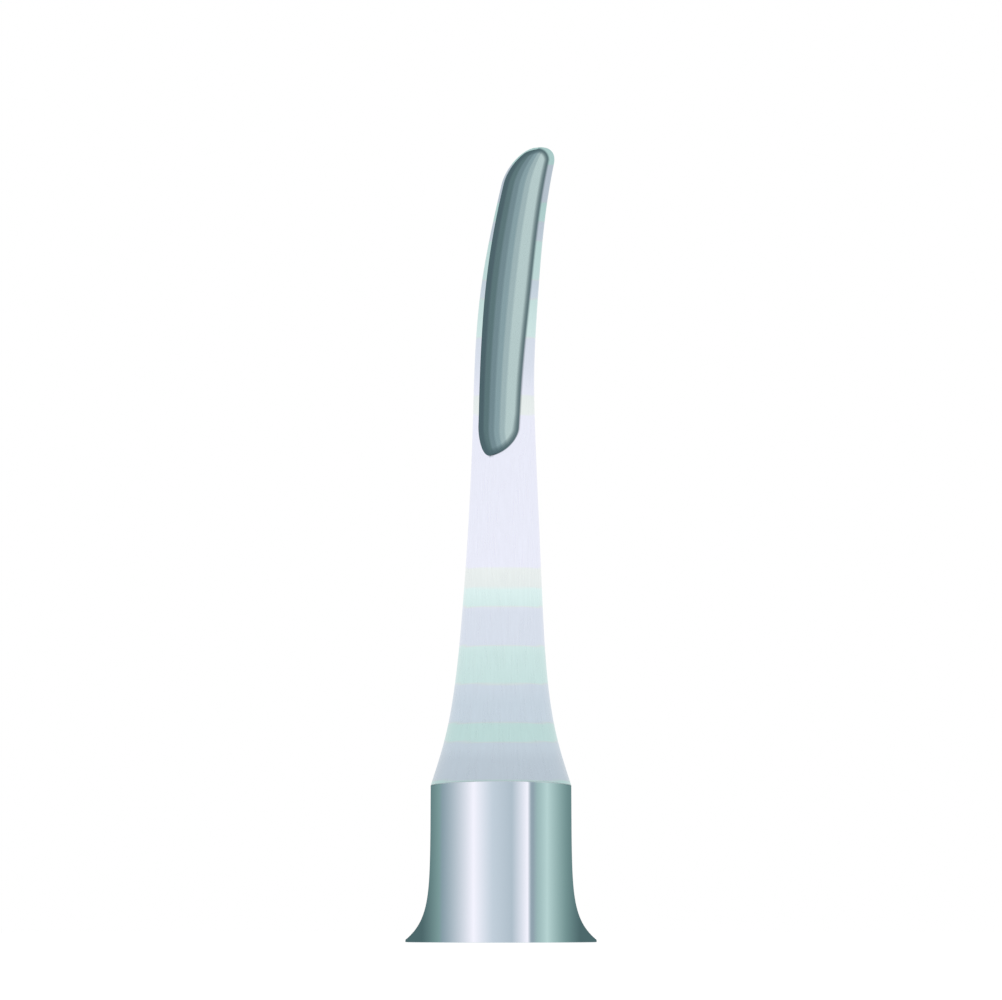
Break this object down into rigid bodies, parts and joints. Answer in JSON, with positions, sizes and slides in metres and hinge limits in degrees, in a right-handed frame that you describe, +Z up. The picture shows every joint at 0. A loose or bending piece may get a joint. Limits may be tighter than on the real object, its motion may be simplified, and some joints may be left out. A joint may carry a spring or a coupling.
{
  "type": "root elevator working end",
  "caption": "Working end of a dental root elevator: a sideways-bent, fluted steel blade on a tapering shank, standing in a turned collar with a flared foot.",
  "frame": {"origin": "centre of the collar's flat base", "axes": "+Z up the instrument towards the blade's tip, -Y out of the fluted face, +X the side that the blade bends to"},
  "size_m": [0.0108, 0.0108, 0.0469],
  "materials": {
    "satin_steel": "satin",
    "polished_steel": "polished"
  },
  "bodies": {
    "root": {"blade_and_shank": "satin_steel", "collar": "polished_steel"}
  },
  "joints": []
}
